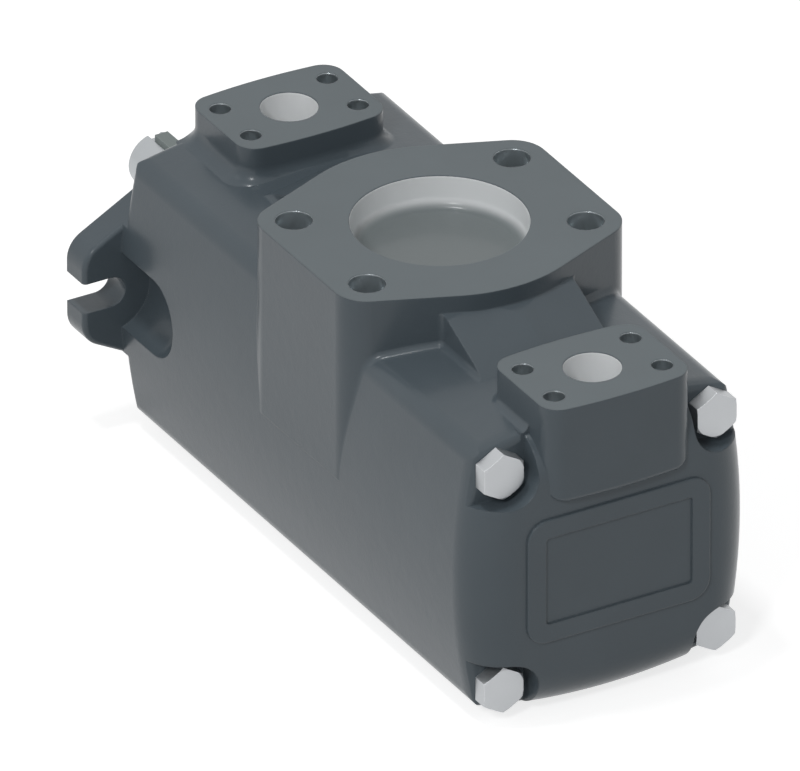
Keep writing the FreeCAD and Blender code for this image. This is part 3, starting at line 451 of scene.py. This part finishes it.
def casting_paint(settings):
    """Satin paint over a casting, thinner on milled faces, with tapped holes, bores painted near
    white as bare iron with a painted reflection, and a suction floor painted lighter against its
    shade.
    """
    material, tree, shader = new_material("painted_casting")
    faces, bores, tapped = port_zones(tree)
    faces.append(face_zone(tree, ALONG_X, 0.0))
    joint_places = (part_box("mounting_cap")[1].x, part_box("end_cap")[0].x)
    joints = [face_zone(tree, ALONG_X, place) for place in joint_places]
    cap_rear, housing_rear = joint_places
    pilot = mounts["pilot"]["dims"]["r_mm"] * MM + PILOT_PLAY
    inside = [
        shaft_zone(tree, CARTRIDGE_REACH, cap_rear, housing_rear),
        shaft_zone(tree, SPIGOT_REACH, cap_rear - SPIGOT_DEPTH, housing_rear + SPIGOT_DEPTH),
        shaft_zone(tree, CORE_REACH, CORE_FRONT, housing_rear + CORE_DEPTH),
        shaft_zone(tree, pilot, PILOT_FRONT, 0.0),
    ]

    skin = use(tree, "Cast Skin", {"Size": settings.grain_size}).outputs
    paint = mixed(tree, any_of(tree, faces), settings.casting, settings.machined)
    value = maths(tree, "MULTIPLY_ADD", skin["Patches"], 0.16, 0.92)
    tone = put(tree, "ShaderNodeHueSaturation", {"Color": paint, "Value": value})
    bare = any_of(tree, joints + inside)
    iron = mixed(tree, bare, tone.outputs["Color"], settings.raw_iron)
    foot = mounts["inlet_face"]["pos_m"][2] - SUCTION_DEPTH
    rise = {"Direction": ALONG_Z, "From": foot, "To": foot + SUCTION_FILLET}
    # Painted light: the foot of the suction bore is painted lighter to cancel its shade.
    floor_painted_lighter = mixed(tree, bores[0], iron, settings.shade_lifted_bore_floor)
    suction_wall = use(tree, "Fade Zone", rise).outputs["Mask"]
    bores[0] = maths(tree, "MULTIPLY", bores[0], suction_wall)
    # The port bores take the near-white bored iron: partly bare metal, partly a painted reflection
    # and painted light against their shade.
    bored_and_painted_bright = mixed(tree, any_of(tree, bores), floor_painted_lighter, settings.bore)
    hole_mask = any_of(tree, tapped)

    machined = any_of(tree, faces + joints + bores)
    unmachined = maths(tree, "SUBTRACT", 1.0, machined)
    turned = {"Centre": mounts["inlet_port"]["pos_m"], "Across": ACROSS_Z, "Along": ALONG_Z}
    marks = use(tree, "Turned Marks", {**turned, "Feed": 0.0005}).outputs["Height"]
    cast_height = maths(tree, "MULTIPLY", skin["Height"], unmachined)
    mark_height = maths(tree, "MULTIPLY", machined, 0.12)
    height = maths(tree, "MULTIPLY_ADD", marks, mark_height, cast_height)
    seams = []
    for place in joint_places:
        span = {"Direction": ALONG_X, "From": place - SEAM_REACH, "To": place + SEAM_REACH}
        seams.append(use(tree, "Span Zone", span).outputs["Mask"])
    off_seams = maths(tree, "SUBTRACT", 1.0, any_of(tree, seams))
    rounding = maths(tree, "MULTIPLY", settings.edge_radius, off_seams)
    soft = put(tree, "ShaderNodeBevel", {"Radius": rounding}, samples=4).outputs["Normal"]
    fill(tree, shader, {
        "Base Color": mixed(tree, hole_mask, bored_and_painted_bright, settings.tapped),
        "Metallic": maths(tree, "MULTIPLY", hole_mask, 0.9),
        "Specular IOR Level": 0.15,
        "Coat Weight": 0.3,
        "Coat Roughness": 0.17,
        "Roughness": maths(
            tree, "MULTIPLY_ADD", skin["Patches"], 0.05, settings.roughness - 0.025
        ),
        "Normal": bump(tree, height, settings.grain_depth, soft),
    })
    return material


def steel(name, base, roughness, marks, depth, metallic=1.0, tint=0.10, edges=0.0):
    """Bare metal with tool marks; marks is a group's name with the values for it. Edges lightens
    the edges, partly as rubbed wear and partly as a painted highlight.
    """
    material, tree, shader = new_material(name)
    group, values = marks
    grain = use(tree, group, values).outputs["Height"]
    patches = use(tree, "Cast Skin", {"Size": 0.0008}).outputs["Patches"]
    dull = maths(tree, "MULTIPLY_ADD", patches, tint, 1 - tint / 2)
    tone = put(tree, "ShaderNodeHueSaturation", {"Color": base, "Value": dull}).outputs["Color"]
    # Edges are lightened partly as rubbed wear and partly as a painted highlight along them.
    if edges:
        wear_and_highlight = use(tree, "Worn Edges", {"Radius": 0.0006, "Breakup": 0.4}).outputs["Mask"]
        rubbed_and_highlit_tone = tuple(min(1.0, channel * (1 + edges)) for channel in base)
        tone = mixed(tree, wear_and_highlight, tone, rubbed_and_highlit_tone)
    soft = put(tree, "ShaderNodeBevel", {"Radius": 0.0003}, samples=4)
    fill(tree, shader, {
        "Base Color": tone,
        "Metallic": metallic,
        "Roughness": maths(tree, "MULTIPLY_ADD", grain, 0.16, roughness - 0.08),
        "Normal": bump(tree, grain, depth, soft.outputs["Normal"]),
    })
    return material


def rubber(settings):
    """Black rubber with a little dust."""
    material, tree, shader = new_material("seal_rubber")
    skin = use(tree, "Cast Skin", {"Size": 0.0003}).outputs
    dusty = maths(tree, "MULTIPLY", skin["Patches"], 0.25)
    fill(tree, shader, {
        "Base Color": mixed(tree, dusty, settings.rubber, settings.dust),
        "Roughness": maths(tree, "MULTIPLY_ADD", skin["Patches"], 0.2, 0.5),
        "Normal": bump(tree, skin["Height"], 0.00002),
    })
    return material


def around_shaft(feed=0.0004):
    """Turned marks round the shaft's axis, as steel takes them."""
    turned = {"Centre": (0, 0, 0), "Across": ACROSS_X, "Along": ALONG_X}
    return "Turned Marks", {**turned, "Feed": feed}


def brushed(along_x, along_y, along_z):
    """Scratches with so many to the metre each way, as steel takes them."""
    return "Brushed Grain", {"Stretch": (along_x, along_y, along_z)}


def take_active(name):
    """Name the piece that was just made."""
    piece = bpy.context.active_object
    piece.name = name
    piece.data.name = name
    return piece


def settle(piece):
    """Put a piece's place into its mesh."""
    piece.data.transform(piece.matrix_basis)
    piece.matrix_basis = Matrix.Identity(4)


def thread_coil(pitch, radius, depth, steps):
    """A helical rib with a flattened crest, for one tapped hole whose mouth is at the origin."""
    bpy.ops.object.select_all(action="DESELECT")
    corner = pitch / sqrt(3)
    bpy.ops.mesh.primitive_circle_add(
        vertices=3, radius=corner, location=(radius - corner / 2, 0, -depth),
        rotation=(pi / 2, -pi / 2, 0),
    )
    piece = take_active("thread_coil")
    settle(piece)
    bpy.ops.object.mode_set(mode="EDIT")
    bpy.ops.mesh.select_all(action="DESELECT")
    bpy.ops.object.mode_set(mode="OBJECT")
    crest = min(piece.data.vertices, key=lambda v: v.co.x)
    crest.select = True
    bpy.ops.object.mode_set(mode="EDIT")
    bpy.ops.mesh.bevel(offset=pitch * 0.32, affect="VERTICES", segments=2)
    bpy.ops.object.mode_set(mode="OBJECT")
    screw = piece.modifiers.new("turns", "SCREW")
    screw.axis = "Z"
    screw.screw_offset = pitch
    screw.iterations = int(depth / pitch)
    screw.steps = steps
    screw.render_steps = steps
    screw.use_merge_vertices = False
    bpy.ops.object.modifier_apply(modifier="turns")
    bpy.ops.object.mode_set(mode="EDIT")
    bpy.ops.mesh.select_all(action="SELECT")
    bpy.ops.mesh.fill_holes(sides=8)
    bpy.ops.mesh.select_all(action="SELECT")
    bpy.ops.mesh.normals_make_consistent(inside=False)
    bpy.ops.object.mode_set(mode="OBJECT")
    bpy.ops.object.shade_smooth_by_angle(angle=radians(35))
    return piece


def copies_at(piece, places, name):
    """Set copies of a piece at some places and join them into one."""
    bpy.ops.object.select_all(action="DESELECT")
    for place in places:
        copy = piece.copy()
        copy.data = piece.data.copy()
        copy.data.transform(Matrix.Translation(place))
        bpy.context.scene.collection.objects.link(copy)
        copy.select_set(True)
        bpy.context.view_layer.objects.active = copy
    bpy.ops.object.join()
    joined = take_active(name)
    bpy.data.objects.remove(piece)
    return joined


class PUMP_OT_groups(bpy.types.Operator):
    """Make the shader groups that the finishes share"""
    bl_idname = "pump.shader_groups"
    bl_label = "Shader groups"

    def execute(self, context):
        make_round_zone()
        make_span_zone()
        make_fade_zone()
        make_flat_zone()
        make_cast_skin()
        make_turned_marks()
        make_worn_and_highlit_edges()
        make_brushed_grain()
        return {"FINISHED"}


class PUMP_OT_castings(bpy.types.Operator):
    """Paint the mounting cap, the housing and the end cap"""
    bl_idname = "pump.castings"
    bl_label = "Castings"

    def execute(self, context):
        material = casting_paint(context.scene.pump_paint)
        dress(("mounting_cap", "housing", "end_cap"), material)
        return {"FINISHED"}


class PUMP_OT_bolts(bpy.types.Operator):
    """Plate the cover bolts and blacken the front screws"""
    bl_idname = "pump.bolts"
    bl_label = "Bolts and screws"

    def execute(self, context):
        metals = context.scene.pump_metals
        grain = brushed(300, 700, 2500)
        plated = steel("zinc_plate", metals.bolt, 0.42, grain, 0.00001, metallic=0.85, edges=0.5)
        dress(("end_cap_bolts",), plated)
        blackened = steel(
            "black_oxide", metals.black, 0.40, grain, 0.000008, metallic=0.7, edges=2.0
        )
        screws = ("mounting_cap_screws", "front_cartridge_screws", "rear_cartridge_screws")
        dress(screws, blackened)
        dress(("bearing_circlip", "shaft_circlip"), blackened)
        return {"FINISHED"}


class PUMP_OT_shaft(bpy.types.Operator):
    """Grind the drive shaft and draw its key"""
    bl_idname = "pump.shaft"
    bl_label = "Shaft and key"

    def execute(self, context):
        metals = context.scene.pump_metals
        ground = steel("ground_shaft", metals.shaft, 0.34, around_shaft(), 0.000006)
        dress(("drive_shaft",), ground)
        drawn = steel("drawn_key", metals.key, 0.45, brushed(60, 1600, 1600), 0.00001, edges=0.6)
        dress(("shaft_key",), drawn)
        return {"FINISHED"}


class PUMP_OT_bearing(bpy.types.Operator):
    """Finish the ball bearing, its bush and the seals"""
    bl_idname = "pump.bearing"
    bl_label = "Bearing and seals"

    def execute(self, context):
        metals = context.scene.pump_metals
        polished = steel("polished_races", metals.bearing, 0.16, around_shaft(0.0002), 0.000002)
        rolling = ("bearing_outer_ring", "bearing_inner_ring", "bearing_balls")
        dress(rolling, polished)
        brass = steel("cage_brass", metals.brass, 0.34, around_shaft(), 0.000006)
        dress(("bearing_cage",), brass)
        bronze = steel("bush_bronze", metals.bronze, 0.38, around_shaft(), 0.000006)
        dress(("rear_bush",), bronze)
        plate_rings = ("front_plate_ring", "rear_plate_ring")
        seals = ("shaft_seal", "front_cap_seal", "rear_cap_seal") + plate_rings
        dress(seals, rubber(metals))
        return {"FINISHED"}


class PUMP_OT_cartridges(bpy.types.Operator):
    """Finish both pumping cartridges"""
    bl_idname = "pump.cartridges"
    bl_label = "Cartridges"

    def execute(self, context):
        metals = context.scene.pump_metals
        lapped = steel("lapped_bronze", metals.bronze, 0.30, around_shaft(0.0003), 0.000004)
        hard = steel("hardened_steel", metals.hard, 0.30, around_shaft(0.0003), 0.000004)
        ground = steel("ground_vanes", metals.shaft, 0.28, brushed(900, 900, 60), 0.000003)
        for end in ("front_", "rear_"):
            dress((end + "port_plate", end + "pressure_plate"), lapped)
            dress((end + "cam_ring", end + "rotor"), hard)
            dress((end + "vanes", end + "vane_pins", end + "dowel_pins"), ground)
        return {"FINISHED"}


class PUMP_OT_threads(bpy.types.Operator):
    """Cut the threads of the twelve port bolt holes"""
    bl_idname = "pump.threads"
    bl_label = "Port threads"

    def execute(self, context):
        threads = context.scene.pump_threads
        paint = context.scene.pump_paint
        grain = brushed(900, 900, 900)
        tapped = steel("cut_thread", paint.tapped, 0.45, grain, 0.000006, metallic=0.5)
        sizes = (
            ("inlet", threads.inlet_pitch, threads.inlet_depth),
            ("front_outlet", threads.outlet_pitch, threads.outlet_depth),
            ("rear_outlet", threads.outlet_pitch, threads.outlet_depth),
        )
        for port, pitch, depth in sizes:
            radius = mounts[port + "_bolts"]["dims"]["hole_r_mm"] * MM - THREAD_PLAY
            coil = thread_coil(pitch, radius, depth - threads.lead_in, threads.steps)
            coil.data.transform(Matrix.Translation((0, 0, -threads.lead_in)))
            ribs = copies_at(coil, hole_places(port + "_bolts"), port + "_threads")
            ribs.data.materials.clear()
            ribs.data.materials.append(tapped)
            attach(ribs, "casing")
        return {"FINISHED"}


def towards(azimuth, elevation):
    """The direction from the pump to a camera or lamp; azimuth 0 is in front, at -Y."""
    return Vector((sin(azimuth) * cos(elevation), -cos(azimuth) * cos(elevation), sin(elevation)))


def add_lamp(name, azimuth, elevation, level, size, distance=2.5):
    """A square lamp that lights a facing surface to a share of its written colour."""
    direction = towards(radians(azimuth), radians(elevation))
    middle = (cad_low + cad_high) / 2
    bpy.ops.object.light_add(type="AREA", location=middle + direction * distance)
    lamp = bpy.context.active_object
    lamp.name = name
    lamp.data.energy = level * (pi * distance) ** 2
    lamp.data.size = size
    lamp.rotation_euler = direction.to_track_quat("Z", "Y").to_euler()
    lamp.visible_camera = False


def seen_directly(tree):
    """Masks camera, glossy and transmission rays."""
    path = put(tree, "ShaderNodeLightPath").outputs
    glossy = maths(tree, "MAXIMUM", path["Is Glossy Ray"], path["Is Transmission Ray"])
    return maths(tree, "MAXIMUM", path["Is Camera Ray"], glossy)


def light_world(level):
    """Even light from all round, which reads as white where it is seen or mirrored."""
    world = bpy.data.worlds.new("studio")
    bpy.context.scene.world = world
    world.use_nodes = True
    tree = world.node_tree
    strength = maths(tree, "MULTIPLY_ADD", seen_directly(tree), 1 - level, level)
    fill(tree, tree.nodes["Background"], {"Color": WHITE, "Strength": strength})


def floor_material(settings):
    """A pale floor that reads as white and still keeps the shadow."""
    material, tree, shader = new_material("studio_floor")
    speckle = noise(tree, place_in(tree), 40.0, 2.0)
    speck = tuple(channel * 0.985 for channel in settings.floor)
    fill(tree, shader, {
        "Base Color": mixed(tree, speckle.outputs["Fac"], settings.floor, speck),
        "Roughness": 0.9,
        "Specular IOR Level": 0.0,
        "Emission Color": WHITE,
        "Emission Strength": maths(tree, "MULTIPLY", seen_directly(tree), settings.floor_lift),
    })
    return material


class PUMP_OT_studio(bpy.types.Operator):
    """Lay the floor, set the lamps and aim the camera"""
    bl_idname = "pump.studio"
    bl_label = "Studio"

    def execute(self, context):
        studio = context.scene.pump_studio
        context.scene.view_settings.view_transform = "Standard"
        light_world(studio.sky_level)
        bpy.ops.object.select_all(action="DESELECT")
        bpy.ops.mesh.primitive_plane_add(size=40, location=(0, 0, cad_low.z - 0.0002))
        floor = take_active("floor")
        settle(floor)
        floor.data.materials.append(floor_material(studio))
        add_lamp("key_lamp", -25, 30, studio.key_level, 0.9)
        add_lamp("top_lamp", 0, 78, studio.top_level, 0.3)
        add_lamp("fill_lamp", 42, 38, studio.fill_level, 0.4)
        towards_camera = towards(studio.azimuth, studio.elevation)
        target = Vector(studio.target)
        middle = ((cad_low + cad_high) / 2 - target).dot(towards_camera)
        distance = studio.view_width * studio.lens / studio.sensor + middle
        bpy.ops.object.camera_add(location=target + towards_camera * distance)
        camera = context.active_object
        camera.name = "photo_camera"
        camera.rotation_euler = towards_camera.to_track_quat("Z", "Y").to_euler()
        camera.data.sensor_width = studio.sensor
        camera.data.lens = studio.lens
        camera.data.clip_end = 100
        context.scene.camera = camera
        return {"FINISHED"}


class PUMP_PT_panel(bpy.types.Panel):
    """Steps and settings of the pump's finish"""
    bl_idname = "PUMP_PT_panel"
    bl_label = "Vane Pump"
    bl_space_type = "VIEW_3D"
    bl_region_type = "UI"
    bl_category = "Vane Pump"

    def draw(self, context):
        for step in STEPS:
            self.layout.operator(step.bl_idname)
        for name in SETTINGS:
            settings = getattr(context.scene, name)
            box = self.layout.box()
            for prop in settings.bl_rna.properties:
                if prop.identifier not in ("rna_type", "name"):
                    box.prop(settings, prop.identifier)


STEPS = (
    PUMP_OT_groups,
    PUMP_OT_castings,
    PUMP_OT_bolts,
    PUMP_OT_shaft,
    PUMP_OT_bearing,
    PUMP_OT_cartridges,
    PUMP_OT_threads,
    PUMP_OT_studio,
)
SETTINGS = {
    "pump_paint": PaintSettings,
    "pump_metals": MetalSettings,
    "pump_threads": ThreadSettings,
    "pump_studio": StudioSettings,
}


def register():
    """Add the settings, the steps and the panel."""
    for name, group in SETTINGS.items():
        bpy.utils.register_class(group)
        setattr(bpy.types.Scene, name, PointerProperty(type=group))
    for step in STEPS:
        bpy.utils.register_class(step)
    bpy.utils.register_class(PUMP_PT_panel)


def unregister():
    """Take the add-on out again."""
    bpy.utils.unregister_class(PUMP_PT_panel)
    for step in reversed(STEPS):
        bpy.utils.unregister_class(step)
    for name, group in reversed(SETTINGS.items()):
        delattr(bpy.types.Scene, name)
        bpy.utils.unregister_class(group)


def main():
    """Run every step."""
    register()
    bpy.ops.pump.shader_groups()
    bpy.ops.pump.castings()
    bpy.ops.pump.bolts()
    bpy.ops.pump.shaft()
    bpy.ops.pump.bearing()
    bpy.ops.pump.cartridges()
    bpy.ops.pump.threads()
    bpy.ops.pump.studio()


if __name__ == "__main__":
    main()
